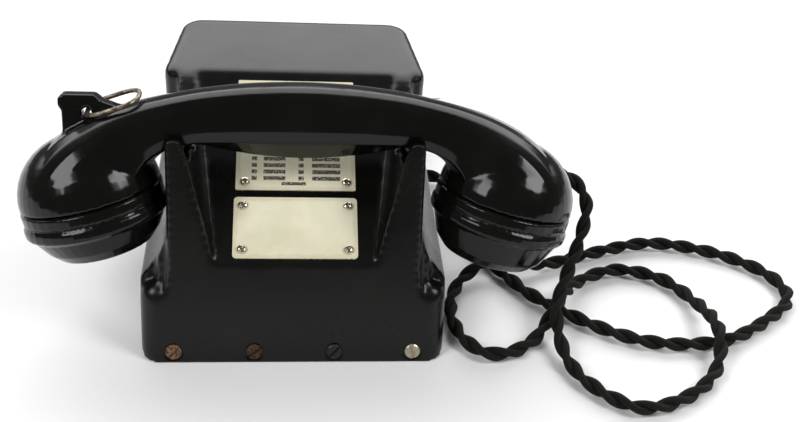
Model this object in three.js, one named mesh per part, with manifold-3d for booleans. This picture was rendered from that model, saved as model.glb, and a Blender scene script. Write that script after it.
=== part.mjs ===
// A wall telephone with a hand crank, lying on its wall plate: moulded cover, wall plate, magneto, ringer,
// hook switch, and a handset that rests in two upright horns. Millimetres, +Z away from the wall plate,
// -Y towards the end that hangs lowest on a wall, origin at the middle of the wall plate's back face.
import * as THREE from "three";
import { mergeVertices } from "three/addons/utils/BufferGeometryUtils.js";
import { ConvexGeometry } from "three/addons/geometries/ConvexGeometry.js";
import Module from "manifold-3d";

const wasm = await Module();
wasm.setup();

// ---------------------------------------------------------------- driving dimensions
const GAP = 0.3; // clearance between touching pieces
const BODY_W = 138; // widest, at the foot
const BODY_L = 168; // foot, front to rear
const TOP_Z = 91; // flat top face above the wall plate
const FRONT_LEAN = THREE.MathUtils.degToRad(18.5); // front plate leans back from upright
const REAR_LEAN = THREE.MathUtils.degToRad(4.7);
const PANEL_TILT = THREE.MathUtils.degToRad(26.5); // label panel above the horizontal
const FOOT_H = 33; // height of the wide foot
const FOOT_R = 8; // upright corners of the foot
const FOOT_FLARE = 12; // the front plate widens into the foot over this height
const WALL = 3; // moulded wall thickness
const HORN_LEN = 103.2; // front plate, foot edge to horn tip
const HORN_W = 112.3; // across the outside of the horns
const HORN_T = 5.8; // thickness of the front plate
const HORN_TIP_W = 6.6; // width of one horn at its tip
const NOTCH_LEN = 48.3; // foot edge to the bottom of the notch
const NOTCH_W = 71.4; // notch width at its bottom
const SETBACK = 4; // body behind the front plate starts this far back
const WAIST_W = 112; // body across the cap hollows
const SCOOP = { r: 44, x: 100, z: 64.3 }; // hollow in each flank for the caps
const RAIL_Z = 86; // top of the rails just behind the cradle
const SEAT = { up: 94.6, from: 7.2, to: 33, flare: 1.8 }; // cradle floor along the front face, and its depth
const RAIL_START_Y = 2; // where the rails start to rise to the top face
const RAIL_END_Y = 21;
const TOP_FRONT_W = 126.4; // top block, front and rear widths
const TOP_REAR_W = 117.6;
const TOP_FRONT_Y = 18;
const TOP_FRONT_R = 5; // upright corners of the top block
const TOP_REAR_R = 10;
const TOP_EDGE_R = 4; // rounding of the top block's edges
const PANEL_END_W = 95.7; // label panel width where it meets the top face

const PLATE_T = 2.5; // wall plate thickness
const FLANGE_T = 5; // upturned flanges that take the cover screws
const FLANGE_H = 11;
const COVER_SCREW = { count: 4, pitch: 36.1, up: 5.2, headR: 3.7, headH: 1.8, sunk: 1.3, shankR: 1.9,
    len: 6.4 };
const REAR_SCREW_X = 42;
const KEYHOLE = { x: 42, y: 56, headR: 4.6, slotR: 2.4, slot: 9 };
const FRONT_HOLE = { y: -52, r: 2.6 };

const LABEL_T = 0.8; // thickness of the two labels
const LABEL_GAP_S = 2.1; // lower label starts this far up the panel
const NAME_LABEL = { w: 55.7, h: 30.3, r: 1.8, inset: 4.2 };
const SPELL_LABEL = { w: 54.7, h: 59, r: 0.7, inset: 4.2 };
const LABEL_SPACE = 3.7;
const LABEL_SCREW = { headR: 2.2, headH: 1.3, shankR: 1.0, len: 3.4 };
const SLOT_TURNS = [50, 38, 46, 106, 12, 75, -30, 20].map(THREE.MathUtils.degToRad); // driver slots as left

const HANDSET_LEAN = THREE.MathUtils.degToRad(18.5);
const HANDSET_X = 2.7; // the handset lies a little to the right
const HANDSET_UP = 98; // crease of the handle, measured along the front face
const HANDSET_BACK = 20; // handle's middle plane behind the front plate's face
const CAP_X = 93; // cap axis from the handset's middle
const CAP_TILT = THREE.MathUtils.degToRad(14); // caps face inwards
const CAP_DROP = 24.4; // joint of bowl and cap below the handle's resting line
const BOWL_R = 31.5;
const CAP_R = 32.4;
const EAR_CAP_H = 25.2; // joint to face
const MOUTH_CAP_H = 28.5;
const BOWL_H = 28.5; // joint to the top of the dome
const CAPSULE_R = 24;
const BOWL_BORE_R = CAPSULE_R + 3.5;
const CAPSULE_H = 11;
const RING_WIRE_R = 1.1;
const RING_LEN = 23.6; // hanging ring, hole to far end
const RING_HALF = 9; // half its width
const RING_CANT = THREE.MathUtils.degToRad(9); // its rear side lies higher
const TAB = { x: -93, z: 13, holeR: 2.3, half: 4.2 };
const RING_REST = THREE.MathUtils.degToRad(19.5);

const SHAFT_Y = BODY_L / 2 - 38; // crank shaft, a set way in from the rear
const SHAFT_Z = 54;
const SHAFT_R = 4;
const CRANK_REST = THREE.MathUtils.degToRad(-40); // below the rearward direction
const CRANK_LEN = 36;
const ARM_X = BODY_W / 2 + 3; // inner face of the crank arm, clear of the foot
const ARM_T = 4;
const KNOB_R = 8.5;
const KNOB_L = 24;
const GEAR_TEETH = 72;
const PINION_TEETH = 16;
const GEAR_MODULE = 0.6;
const GEAR_X = 28;
const GEAR_T = 3.5;
const BUSH = { r: 7, flange: 10, bore: SHAFT_R + GAP, flangeX: TOP_FRONT_W / 2 - 1.2 };
const MAGNET_W = 13; // each horseshoe magnet, along the shaft
const MAGNET_COUNT = 3;

const PIN_R = 1.9; // hook switch pins
const PIN_Y = -31;
const PIN_X = 48;
const PIN_FOOT_Z = 40;
const PIN_TOP_Z = 83.3;
const BRIDGE_T = 3;

const GONG_R = 21;
const GONG_X = 24;
const GONG_Y = -BODY_L / 2 + 44;
const GONG_Z = 12;

const CORD_D = 6.8;
const CORD_EXIT = { y: 55, z: 8 }; // hole in the right flank
const GLAND = { r: 4.6, flange: 5.8 }; // rubber bush round it
const LINE_INLET = { x: -30, z: 9, r: 4 };
const CORD_SIDES = 8;
const CORD_STEPS = 78;
// Middle of the cord from the flank, over the table and up to the handset.
const CORD_ROUTE = [
  [72.3, 55, 8],
  [80, 53.7, 6.8],
  [87, 48, 4.6],
  [90.7, 36, 3.8],
  [88.5, 9, 3.8],
  [107, -27, 3.8],
  [121, -45, 3.8],
  [165, -74, 3.8],
  [206, -74.5, 3.8],
  [238, -56, 3.8],
  [248, -46.5, 3.8],
  [250.3, -37.5, 3.8],
  [244.5, -24, 3.8],
  [222, -8, 3.8],
  [189, 0, 3.8],
  [154, -9, 3.8],
  [126, -19, 4.8],
  [104, -21.8, 10.8],
  [93, -23.6, 7.4],
  [83.5, -31, 4.4],
  [77.3, -43, 3.8],
  [75.6, -58, 3.8],
  [79.5, -72.5, 3.8],
  [87, -81, 3.8],
  [97, -82.8, 3.8],
  [113, -73.5, 3.8],
  [129, -52, 10.8],
  [143, -32.5, 4.6],
  [165, -22, 3.8],
  [187, -29, 3.8],
  [198.5, -46, 4.8],
  [201.5, -74, 11.2],
  [196, -94, 4.8],
  [177, -111, 3.8],
  [153, -117, 3.8],
  [132, -100, 3.8],
  [125.2, -83, 5.6],
  [123.6, -67, 13.5],
  [127, -56, 19],
  [137.1, -36.5, 30.3],
  [142.8, -22, 42.2],
  [141.7, -15, 47.4],
  [137.6, -9.3, 50.9],
  [131, -6.3, 53.2],
  [124.2, -6.3, 54.8],
  [119.3, -8.5, 55.7],
  [117.3, -10.1, 56],
  [115.9, -12, 56.3],
];

// ---------------------------------------------------------------- materials
const finish = (color, roughness, metalness) => new THREE.MeshStandardMaterial({ color, roughness,
    metalness });
const bakelite = finish(0x121211, 0.25, 0);
const steel = finish(0x8f8d88, 0.4, 1);
const zincSteel = finish(0xb5b0a2, 0.45, 1);
const brass = finish(0xb08d4f, 0.35, 1);
const nickel = finish(0xc9c4b6, 0.3, 1);
const enamelPlate = finish(0xd8cfb0, 0.5, 0);
const magnetSteel = finish(0x3f4145, 0.5, 1);
const copper = finish(0x8a4b2a, 0.5, 0.6);
const paper = finish(0x6b5b40, 0.8, 0);
const fabric = finish(0x1d1c17, 0.95, 0);
const rubber = finish(0x191917, 0.7, 0);

// ---------------------------------------------------------------- helpers
const V3 = (x, y, z) => new THREE.Vector3(x, y, z);

function solid(geometry) {
  const plain = geometry.clone();
  plain.deleteAttribute("normal");
  plain.deleteAttribute("uv");
  const merged = mergeVertices(plain, 1e-4);
  const vertProperties = new Float32Array(merged.attributes.position.array);
  const triVerts = new Uint32Array(merged.index.array);
  return new wasm.Manifold(new wasm.Mesh({ numProp: 3, vertProperties, triVerts }));
}

function geometryOf(made) {
  const mesh = made.getMesh();
  const geometry = new THREE.BufferGeometry();
  geometry.setAttribute("position", new THREE.BufferAttribute(new Float32Array(mesh.vertProperties), 3));
  geometry.setIndex(new THREE.BufferAttribute(new Uint32Array(mesh.triVerts), 1));
  geometry.computeVertexNormals();
  return geometry;
}

// The frame of a shape drawn in X-Y and extruded along Z, turned so that its X, Y and Z run along three axes.
function along(geometry, x, y, z) {
  return geometry.applyMatrix4(new THREE.Matrix4().makeBasis(x, y, z));
}

function outline(points) {
  return new THREE.Shape(points.map(([x, y]) => new THREE.Vector2(x, y)));
}

function roundedRect(w, h, r) {
  const shape = new THREE.Shape();
  shape.moveTo(-w / 2 + r, -h / 2);
  shape.lineTo(w / 2 - r, -h / 2);
  shape.absarc(w / 2 - r, -h / 2 + r, r, -Math.PI / 2, 0);
  shape.absarc(w / 2 - r, h / 2 - r, r, 0, Math.PI / 2);
  shape.absarc(-w / 2 + r, h / 2 - r, r, Math.PI / 2, Math.PI);
  shape.absarc(-w / 2 + r, -h / 2 + r, r, Math.PI, 1.5 * Math.PI);
  return shape;
}

function slab(shape, depth, steps = 5) {
  return new THREE.ExtrudeGeometry(shape, { depth, bevelEnabled: false, curveSegments: steps });
}

// A side view in Y-Z, extruded across the body from -half to +half.
function across(points, half) {
  const geometry = slab(outline(points), 2 * half);
  along(geometry, V3(0, 1, 0), V3(0, 0, 1), V3(1, 0, 0));
  return geometry.translate(-half, 0, 0);
}

// A body turned about its own Z axis: profile points are [radius, z].
function turned(profile, sides = 24) {
  const points = profile.map(([r, z]) => new THREE.Vector2(r, z));
  const turn = points.reduce((sum, p, i) => sum + p.cross(points[(i + 1) % points.length]), 0);
  if (turn < 0) points.reverse();
  return new THREE.LatheGeometry(points, sides).rotateX(Math.PI / 2);
}

function disc(radius, z0, z1, sides = 24) {
  return turned([[0, z0], [radius, z0], [radius, z1], [0, z1]], sides);
}

function tubeOf(rIn, rOut, z0, z1, sides = 24) {
  return turned([[rIn, z0], [rOut, z0], [rOut, z1], [rIn, z1], [rIn, z0]], sides);
}

function mesh(name, shape, material, position, rotation) {
  const geometry = shape.isBufferGeometry ? shape : geometryOf(shape);
  const made = new THREE.Mesh(geometry, material);
  made.name = name;
  if (position) made.position.copy(position);
  if (rotation) made.rotation.set(...rotation);
  return made;
}

const union = (...parts) => parts.reduce((a, b) => a.add(b));

// ---------------------------------------------------------------- where the faces run
const FRONT_Y = -BODY_L / 2;
const frontPoint = (up, inward) => [
  FRONT_Y + up * Math.sin(FRONT_LEAN) + inward * Math.cos(FRONT_LEAN),
  up * Math.cos(FRONT_LEAN) - inward * Math.sin(FRONT_LEAN),
];
const frontY = (z, inward) => FRONT_Y + z * Math.tan(FRONT_LEAN) + inward / Math.cos(FRONT_LEAN);
const rearY = (z, inward) => BODY_L / 2 - z * Math.tan(REAR_LEAN) - inward / Math.cos(REAR_LEAN);
const [PANEL_Y, PANEL_Z] = frontPoint(NOTCH_LEN, 0);
const underPanel = (below) => below / Math.cos(PANEL_TILT);
const panelZ = (y, below = 0) => PANEL_Z + (y - PANEL_Y) * Math.tan(PANEL_TILT) - underPanel(below);
const panelY = (z, below = 0) => PANEL_Y + (z - PANEL_Z + underPanel(below)) / Math.tan(PANEL_TILT);
const PANEL_END_Y = panelY(TOP_Z);

// The notch's side wall is one plane through three corners: X = a + b y + c z.
function notchWall() {
  const low = [PANEL_Y, PANEL_Z, NOTCH_W / 2];
  const end = [PANEL_END_Y, TOP_Z, PANEL_END_W / 2];
  const [tipY, tipZ] = frontPoint(HORN_LEN, 0);
  const tip = [tipY, tipZ, HORN_W / 2 - HORN_TIP_W];
  const [y1, z1, x1] = end.map((v, i) => v - low[i]);
  const [y2, z2, x2] = tip.map((v, i) => v - low[i]);
  const c = (x2 * y1 - x1 * y2) / (z2 * y1 - z1 * y2);
  const b = (x1 - c * z1) / y1;
  return (y, z) => low[2] + b * (y - low[0]) + c * (z - low[1]);
}
const notchX = notchWall();

const frontFrame = new THREE.Group();
frontFrame.position.set(0, FRONT_Y, 0);
frontFrame.rotation.x = -FRONT_LEAN;
const rearFrame = new THREE.Group();
rearFrame.position.set(0, BODY_L / 2, 0);
rearFrame.rotation.x = REAR_LEAN;
const panelFrame = new THREE.Group();
panelFrame.position.set(0, PANEL_Y, PANEL_Z);
panelFrame.rotation.x = PANEL_TILT;
const matrixOf = (frame) => {
  frame.updateMatrixWorld(true);
  return frame.matrixWorld;
};
const inFrame = (geometry, frame) => geometry.applyMatrix4(matrixOf(frame));

// ---------------------------------------------------------------- cover
function scoopCutter(side) {
  // a long round hollow along the flank, where the caps hang
  const cutter = disc(SCOOP.r, -BODY_L, BODY_L, 80).rotateX(Math.PI / 2);
  return solid(cutter.translate(side * SCOOP.x, 0, SCOOP.z));
}

function waistCutter(side) {
  // above the hollow's middle the flank is upright
  const depth = 60;
  const box = new THREE.BoxGeometry(depth, 2 * BODY_L, TOP_Z);
  return solid(box.translate(side * (WAIST_W / 2 + depth / 2), 0, SCOOP.z + TOP_Z / 2));
}

// The rails dip behind the horns and sweep up to the top face.
function railLine() {
  const line = [];
  const steps = 8;
  for (let i = 0; i <= steps; i += 1) {
    const share = i / steps;
    const y = RAIL_START_Y + (RAIL_END_Y - RAIL_START_Y) * share;
    line.push([y, RAIL_Z + (TOP_Z - RAIL_Z) * (share * share * (3 - 2 * share))]);
  }
  return line;
}

function mainBody() {
  const profile = [
    [frontY(0, SETBACK), 0],
    [frontY(RAIL_Z, SETBACK), RAIL_Z],
    ...railLine(),
    [rearY(TOP_Z, TOP_EDGE_R), TOP_Z],
    [rearY(TOP_Z - TOP_EDGE_R * 0.3, TOP_EDGE_R * 0.3), TOP_Z - TOP_EDGE_R * 0.3],
    [rearY(TOP_Z - TOP_EDGE_R, 0), TOP_Z - TOP_EDGE_R],
    [rearY(0, 0), 0],
  ];
  const body = solid(across(profile, BODY_W / 2)).subtract(solid(rearCorner(-1)))
      .subtract(solid(rearCorner(1)));
  return body.subtract(waistCutter(-1)).subtract(waistCutter(1));
}

// Takes off the body's upper rear corner, where the top block is rounder.
function rearCorner(side, grow = 0, from = SCOOP.z) {
  const size = TOP_REAR_R + 2 * grow;
  const box = new THREE.BoxGeometry(2 * size, size, 2 * TOP_Z).rotateZ(side * -Math.PI / 4);
  return box.translate(side * WAIST_W / 2, rearY(TOP_Z, 0), TOP_Z + from);
}

// The cradle the handle drops into, square to the front face.
function cradleCutter() {
  const { up, from, to, flare } = SEAT;
  const profile = [
    frontPoint(up, from),
    frontPoint(up + 4, from - flare + 0.4),
    frontPoint(2 * up, from - flare + 0.4),
    frontPoint(2 * up, to + flare),
    frontPoint(up + 5, to + flare),
    frontPoint(up + 1.5, to + 1),
    frontPoint(up, to - 1.5),
  ].reverse();
  return solid(across(profile, BODY_W));
}

// The foot's front, between its two round corner posts.
function footFront() {
  const profile = [
    [frontY(0, 0), 0],
    [frontY(FOOT_H - 6, 0), FOOT_H - 6],
    [frontY(FOOT_H, FOOT_R), FOOT_H],
    [frontY(0, FOOT_R + 1), 0],
  ];
  return solid(across(profile, BODY_W / 2 - FOOT_R));
}

// A post with a ball on top, touching the front plane and the flank.
function footPost(side) {
  const ballZ = FOOT_H - FOOT_R + 1;
  const x = side * (BODY_W / 2 - FOOT_R);
  const corners = [];
  for (const z of [ballZ, -2 * FOOT_R]) {
    const ball = new THREE.SphereGeometry(FOOT_R, 20, 14).translate(x, frontY(z, FOOT_R), z);
    corners.push(solid(ball));
  }
  return wasm.Manifold.hull(corners).subtract(belowTable());
}

// The body behind a post gives way to it.
function postRoom(side) {
  const box = new THREE.BoxGeometry(2 * FOOT_R, 2 * FOOT_R, 4 * TOP_Z);
  box.translate(side * (BODY_W / 2), 0, 0);
  return solid(inFrame(box, frontFrame));
}

function belowTable() {
  return solid(new THREE.BoxGeometry(2 * BODY_W, 2 * BODY_L, BODY_W).translate(0, 0, -BODY_W / 2));
}

function frontPlate() {
  const tipR = 2.2;
  const half = HORN_W / 2;
  const wide = BODY_W / 2 - FOOT_R;
  const shape = new THREE.Shape();
  shape.moveTo(-wide, 0);
  shape.lineTo(wide, 0);
  shape.lineTo(wide, FOOT_H - 3);
  shape.quadraticCurveTo(half, FOOT_H, half, FOOT_H + FOOT_FLARE);
  shape.lineTo(half, HORN_LEN - tipR);
  shape.absarc(half - tipR, HORN_LEN - tipR, tipR, 0, Math.PI / 2);
  shape.lineTo(-half + tipR, HORN_LEN);
  shape.absarc(-half + tipR, HORN_LEN - tipR, tipR, Math.PI / 2, Math.PI);
  shape.lineTo(-half, FOOT_H + FOOT_FLARE);
  shape.quadraticCurveTo(-half, FOOT_H, -wide, FOOT_H - 3);
  const flat = slab(shape, HORN_T, 5);
  const plate = along(flat, V3(1, 0, 0), V3(0, 0, 1), V3(0, -1, 0)).translate(0, HORN_T, 0);
  return solid(inFrame(plate, frontFrame)).subtract(belowTable());
}

function topBlock() {
  const shape = new THREE.Shape();
  const a = TOP_FRONT_W / 2 - TOP_EDGE_R;
  const b = TOP_REAR_W / 2 - TOP_EDGE_R;
  const [y0, y1] = [TOP_FRONT_Y + TOP_EDGE_R, rearY(TOP_Z, 0) - TOP_EDGE_R];
  const [r0, r1] = [TOP_FRONT_R, TOP_REAR_R];
  shape.moveTo(-a + r0, y0);
  shape.lineTo(a - r0, y0);
  shape.quadraticCurveTo(a, y0, a, y0 + r0);
  shape.lineTo(b, y1 - r1);
  shape.quadraticCurveTo(b, y1, b - r1, y1);
  shape.lineTo(-b + r1, y1);
  shape.quadraticCurveTo(-b, y1, -b, y1 - r1);
  shape.lineTo(-a, y0 + r0);
  shape.quadraticCurveTo(-a, y0, -a + r0, y0);
  const low = FOOT_H - 1;
  const block = new THREE.ExtrudeGeometry(shape, {
    depth: TOP_Z - low - TOP_EDGE_R,
    bevelEnabled: true,
    bevelSize: TOP_EDGE_R,
    bevelThickness: TOP_EDGE_R,
    bevelSegments: 3,
    curveSegments: 4,
  });
  return solid(block.translate(0, 0, low));
}

// The hollow inside the top block, one wall in from its sides.
function rearHollow() {
  const inset = WALL + 1;
  const [a, b] = [TOP_FRONT_W / 2 - inset, TOP_REAR_W / 2 - inset - 2];
  const [y0, y1] = [TOP_FRONT_Y + TOP_EDGE_R + inset, rearY(TOP_Z, WALL + 3)];
  const plan = slab(outline([[-a, y0], [a, y0], [b, y1], [-b, y1]]), TOP_Z - WALL - 2);
  return solid(plan.translate(0, 0, -1));
}

function footPlan() {
  return solid(slab(roundedRect(BODY_W, BODY_L, FOOT_R), 2 * TOP_Z, 5).translate(0, 0, -TOP_Z / 2));
}

function notchCutter() {
  const high = 2 * TOP_Z;
  const front = FRONT_Y - 10;
  const corners = [];
  for (const side of [-1, 1]) {
    for (const y of [front, PANEL_END_Y]) {
      corners.push(V3(side * notchX(y, panelZ(y)), y, panelZ(y)));
      corners.push(V3(side * notchX(y, high), y, high));
    }
  }
  return solid(new ConvexGeometry(corners));
}

function upperHollow() {
  const inward = HORN_T + 0.5;
  const roof = TOP_Z - WALL;
  // where the inner face of the front wall meets the underside of the label panel
  const meetZ = panelZ(frontY(0, inward), WALL) / (1 - Math.tan(PANEL_TILT) * Math.tan(FRONT_LEAN));
  const profile = [
    [frontY(-1, inward), -1],
    [frontY(meetZ, inward), meetZ],
    [panelY(roof, WALL), roof],
    [rearY(roof, WALL), roof],
    [rearY(-1, WALL), -1],
  ];
  const room = solid(across(profile, WAIST_W / 2 - WALL));
  const grow = WALL + 1;
  return room.subtract(solid(rearCorner(-1, grow, -5))).subtract(solid(rearCorner(1, grow, -5)));
}

function lowerHollow() {
  const high = FOOT_H - WALL;
  const profile = [
    [frontY(-1, WALL), -1],
    [frontY(high, WALL), high],
    [rearY(high, WALL), high],
    [rearY(-1, WALL), -1],
  ];
  return solid(across(profile, BODY_W / 2 - WALL));
}

// Screw holes through the front wall, square to it; the rear ones are square to the rear wall.
const coverScrewXs = [...Array(COVER_SCREW.count)].map((_,
    i) => (i - (COVER_SCREW.count - 1) / 2) * COVER_SCREW.pitch);

const FLAT_HEAD = [[1, 0], [1, 0.6], [0.8, 1], [0, 1]];
const ROUND_HEAD = [[1, 0], [0.97, 0.35], [0.8, 0.72], [0.48, 0.95], [0, 1]];

// Head outwards along +Z, seat at z 0, shank below, and a straight slot in the head.
function screwBody({ headR, headH, shankR, len }, slotW, slotD, sides = 16, head = FLAT_HEAD) {
  const dome = head.map(([r, z]) => [r * headR, z * headH]);
  const body = solid(turned([[0, -len], [shankR, -len], [shankR, 0], ...dome], sides));
  const slot = new THREE.BoxGeometry(2.4 * headR, slotW, slotD * 2).translate(0, 0, headH);
  return body.subtract(solid(slot));
}

function screwHole({ headR, shankR, len }, seat, out) {
  return union(solid(disc(shankR + GAP, -len - 1, 1, 12)), solid(disc(headR + GAP, seat, out, 16)));
}

function coverShell() {
  let shell = union(mainBody().subtract(cradleCutter()), footFront()).intersect(footPlan());
  for (const side of [-1, 1]) shell = shell.subtract(scoopCutter(side)).subtract(postRoom(side))
      .add(footPost(side));
  shell = union(shell, topBlock(), frontPlate());
  shell = shell.subtract(notchCutter());
  shell = shell.subtract(upperHollow()).subtract(rearHollow()).subtract(lowerHollow());
  const { up, sunk } = COVER_SCREW;
  for (const x of coverScrewXs) {
    const hole = screwHole(COVER_SCREW, 0, 4).transform(new THREE.Matrix4().makeRotationX(Math.PI / 2)
        .elements);
    shell = shell.subtract(placeSolid(hole, V3(x, sunk, up), frontFrame));
  }
  for (const side of [-1, 1]) {
    const hole = screwHole(COVER_SCREW, 0, 4).transform(new THREE.Matrix4().makeRotationX(-Math.PI / 2)
        .elements);
    shell = shell.subtract(placeSolid(hole, V3(side * REAR_SCREW_X, -sunk, up), rearFrame));
    const pinHole = solid(disc(PIN_R + GAP, PIN_FOOT_Z, TOP_Z, 16).translate(side * PIN_X, PIN_Y, 0));
    shell = shell.subtract(pinHole);
  }
  for (const [x, s] of labelScrewSpots()) {
    shell = shell.subtract(placeSolid(solid(disc(LABEL_SCREW.shankR + GAP, -LABEL_SCREW.len - 0.5, 1,
        10)), V3(x, s, 0), panelFrame));
  }
  shell = shell.subtract(solid(alongX(disc(BUSH.r + GAP, 0, BODY_W, 24)).translate(20, SHAFT_Y, SHAFT_Z)));
  shell = shell.subtract(solid(alongX(disc(GLAND.r + GAP, 0, BODY_W, 16))
      .translate(20, CORD_EXIT.y, CORD_EXIT.z)));
  shell = shell.subtract(solid(disc(LINE_INLET.r, -10, 10, 16).rotateX(Math.PI / 2)
      .translate(LINE_INLET.x, BODY_L / 2, LINE_INLET.z)));
  return shell.simplify(0.005);
}

function placeSolid(part, at, frame) {
  const matrix = new THREE.Matrix4().makeTranslation(at.x, at.y, at.z);
  return part.transform(matrix.premultiply(matrixOf(frame)).elements);
}

const alongX = (geometry) => geometry.rotateY(Math.PI / 2);

// ---------------------------------------------------------------- wall plate
function keyholeCutter(x) {
  const { y, headR, slotR, slot } = KEYHOLE;
  const head = solid(disc(headR, -1, PLATE_T + 1, 20).translate(x, y - slot, 0));
  const neck = solid(disc(slotR, -1, PLATE_T + 1, 14).translate(x, y, 0));
  const track = solid(new THREE.BoxGeometry(2 * slotR, slot, PLATE_T + 2)
      .translate(x, y - slot / 2, PLATE_T / 2));
  return union(head, neck, track);
}

function wallPlate() {
  const w = BODY_W - 2 * (WALL + GAP);
  const y0 = frontY(PLATE_T, WALL + GAP);
  const y1 = rearY(PLATE_T, WALL + GAP);
  const sheet = slab(roundedRect(w, y1 - y0, 3.5), PLATE_T, 3).translate(0, (y0 + y1) / 2, 0);
  const under = new THREE.BoxGeometry(2 * w, 2 * BODY_L, 20).translate(0, 0, -10);
  const flangeFront = new THREE.BoxGeometry(w - 12, FLANGE_T, 2 * FLANGE_H)
      .translate(0, WALL + GAP + FLANGE_T / 2, 0);
  const flangeRear = new THREE.BoxGeometry(w - 12, FLANGE_T, 2 * FLANGE_H)
      .translate(0, -WALL - GAP - FLANGE_T / 2, 0);
  let plate = union(solid(sheet), solid(inFrame(flangeFront, frontFrame)),
      solid(inFrame(flangeRear, rearFrame)));
  plate = plate.subtract(solid(under));
  plate = plate.subtract(keyholeCutter(-KEYHOLE.x)).subtract(keyholeCutter(KEYHOLE.x));
  plate = plate.subtract(solid(disc(FRONT_HOLE.r, -1, PLATE_T + 1, 16).translate(0, FRONT_HOLE.y, 0)));
  for (const x of coverScrewXs) {
    const hole = solid(disc(COVER_SCREW.shankR + GAP, -14, 2, 12).rotateX(Math.PI / 2));
    plate = plate.subtract(placeSolid(hole, V3(x, 0, COVER_SCREW.up), frontFrame));
  }
  for (const side of [-1, 1]) {
    const hole = solid(disc(COVER_SCREW.shankR + GAP, -14, 2, 12).rotateX(-Math.PI / 2));
    plate = plate.subtract(placeSolid(hole, V3(side * REAR_SCREW_X, 0, COVER_SCREW.up), rearFrame));
  }
  const inletSlot = new THREE.BoxGeometry(9, 14, 2 * FLANGE_H)
      .translate(LINE_INLET.x, y1 - 4, FLANGE_H + PLATE_T);
  return plate.subtract(solid(inletSlot));
}

function addCover(root) {
  root.add(mesh("housing_shell", coverShell(), bakelite));
  root.add(mesh("wall_plate", wallPlate(), steel));
  const inFront = new THREE.Group();
  inFront.position.copy(frontFrame.position);
  inFront.rotation.copy(frontFrame.rotation);
  root.add(inFront);
  coverScrewXs.forEach((x, i) => {
    const screw = screwBody(COVER_SCREW, 1.1, 1.1);
    const at = V3(x, COVER_SCREW.sunk, COVER_SCREW.up);
    inFront.add(mesh(`cover_screw_${i + 1}`, screw, zincSteel, at, [Math.PI / 2, 0, SLOT_TURNS[i]]));
  });
  const atRear = new THREE.Group();
  atRear.position.copy(rearFrame.position);
  atRear.rotation.copy(rearFrame.rotation);
  root.add(atRear);
  [-1, 1].forEach((side, i) => {
    const screw = screwBody(COVER_SCREW, 1.1, 1.1);
    const at = V3(side * REAR_SCREW_X, -COVER_SCREW.sunk, COVER_SCREW.up);
    atRear.add(mesh(`rear_screw_${i + 1}`, screw, zincSteel, at, [-Math.PI / 2, 0, SLOT_TURNS[i + 4]]));
  });
}

// ---------------------------------------------------------------- labels
const SPELL_START = LABEL_GAP_S + NAME_LABEL.h + LABEL_SPACE;

function labelCorners(label, start) {
  const [x, s] = [label.w / 2 - label.inset, label.h / 2 - label.inset];
  const mid = start + label.h / 2;
  return [[-x, mid - s], [x, mid - s], [-x, mid + s], [x, mid + s]];
}

function labelScrewSpots() {
  return [...labelCorners(NAME_LABEL, LABEL_GAP_S), ...labelCorners(SPELL_LABEL, SPELL_START)];
}

function label(spec, start) {
  let plate = solid(slab(roundedRect(spec.w, spec.h, spec.r), LABEL_T, 3)
      .translate(0, start + spec.h / 2, GAP));
  for (const [x, s] of labelCorners(spec, start)) {
    plate = plate.subtract(solid(disc(LABEL_SCREW.shankR + GAP, -1, 3, 10).translate(x, s, 0)));
  }
  return plate;
}

function addLabels(root) {
  const onPanel = new THREE.Group();
  onPanel.position.copy(panelFrame.position);
  onPanel.rotation.copy(panelFrame.rotation);
  root.add(onPanel);
  onPanel.add(mesh("name_plate", label(NAME_LABEL, LABEL_GAP_S), enamelPlate));
  onPanel.add(mesh("spelling_plate", label(SPELL_LABEL, SPELL_START), enamelPlate));
  const names = ["name_plate_screw", "spelling_plate_screw"];
  labelScrewSpots().forEach(([x, s], i) => {
    const screw = screwBody(LABEL_SCREW, 0.5, 0.5, 16, ROUND_HEAD);
    const at = V3(x, s, LABEL_T + 2 * GAP);
    onPanel.add(mesh(`${names[Math.floor(i / 4)]}_${(i % 4) + 1}`, screw, nickel, at, [0, 0, SLOT_TURNS[i]]));
  });
}

// ---------------------------------------------------------------- magneto and crank
const FRAME_T = 4; // end plates of the magneto
const ARMATURE_R = 11;
const GEAR_R = (GEAR_TEETH * GEAR_MODULE) / 2;
const PINION_R = (PINION_TEETH * GEAR_MODULE) / 2;
const ARMATURE_Z = SHAFT_Z - GEAR_R - PINION_R - 0.15;
const MAGNETO_X0 = -22;
const MAGNETO_X1 = GEAR_X - 2;

function gear(teeth, thickness, boreR) {
  const pitch = (teeth * GEAR_MODULE) / 2;
  const [inner, outer] = [pitch - 1.15 * GEAR_MODULE, pitch + 0.85 * GEAR_MODULE];
  const points = [];
  for (let i = 0; i < teeth; i += 1) {
    const step = (2 * Math.PI) / teeth;
    const at = (i + 0.25) * step;
    for (const [share, r] of [[-0.3, inner], [-0.13, outer], [0.13, outer], [0.3, inner]]) {
      points.push([r * Math.cos(at + share * step), r * Math.sin(at + share * step)]);
    }
  }
  const wheel = solid(slab(outline(points), thickness));
  return wheel.subtract(solid(disc(boreR, -1, thickness + 1, 16)));
}

function horseshoe() {
  // an upright arch round the armature, open below
  const legX = ARMATURE_R + 9;
  const thick = 6;
  const top = TOP_Z - WALL - 4;
  const low = ARMATURE_Z - 7;
  const crown = top - legX;
  const shape = new THREE.Shape();
  shape.moveTo(-legX, low);
  shape.lineTo(-legX, crown);
  shape.absarc(0, crown, legX, Math.PI, 0, true);
  shape.lineTo(legX, low);
  shape.lineTo(legX - thick, low);
  shape.lineTo(legX - thick, crown);
  shape.absarc(0, crown, legX - thick, 0, Math.PI, false);
  shape.lineTo(-legX + thick, low);
  return along(slab(shape, MAGNET_W - GAP, 8), V3(0, 1, 0), V3(0, 0, 1), V3(1, 0, 0));
}

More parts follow.
